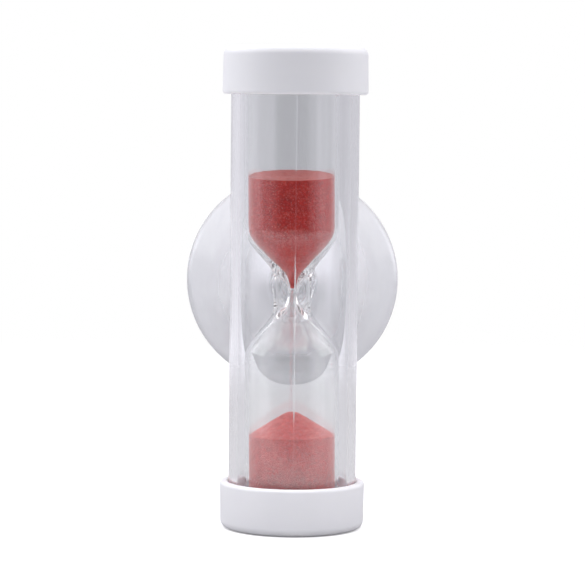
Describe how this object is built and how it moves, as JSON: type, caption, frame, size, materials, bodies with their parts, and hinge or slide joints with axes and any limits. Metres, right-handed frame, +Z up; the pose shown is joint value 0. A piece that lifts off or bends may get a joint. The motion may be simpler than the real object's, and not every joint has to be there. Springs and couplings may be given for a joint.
{
  "type": "wall-mounted sand timer",
  "caption": "Hourglass timer: a double glass bulb of red sand in a clear tube with white push-on end caps, turned over on the stem of a suction cup at its back.",
  "frame": {"origin": "centre of the bottom cap's closed end, the face the timer stands on", "axes": "+Z up along the tube, -Y the front, +Y towards the wall that the suction cup sticks to"},
  "size_m": [0.0424, 0.0399, 0.092],
  "materials": {
    "clear_tube": "clear moulded polystyrene, glossy",
    "white_cap": "white moulded plastic, satin gloss",
    "vial_glass": "clear drawn glass",
    "stopper_rubber": "soft, matt",
    "red_sand": "fine dyed grains, matt",
    "pad_foam": "closed-cell foam, matt",
    "soft_pvc": "clear soft PVC, glossy, slightly milky"
  },
  "bodies": {
    "wall_cup": {"suction_dish": "soft_pvc"},
    "cup_stem": {"suction_stem": "soft_pvc"},
    "timer": {"housing_tube": "clear_tube", "top_cap": "white_cap", "bottom_cap": "white_cap", "glass_vial": "vial_glass", "vial_stopper": "stopper_rubber", "upper_sand": "red_sand", "lower_sand": "red_sand", "sand_stream": "red_sand", "top_pad": "pad_foam", "bottom_pad": "pad_foam"}
  },
  "joints": [
    {"name": "cup_press", "type": "slide", "parent": "wall_cup", "child": "cup_stem", "axis": [0, 1, 0], "range_m": [0, 0.0025], "stiffness_N_per_m": 1500, "deforming": ["suction_dish"]},
    {"name": "timer_turn", "type": "hinge", "parent": "cup_stem", "child": "timer", "pos_m": [0, 0.0135, 0.046], "axis": [0, 1, 0], "continuous": true}
  ]
}
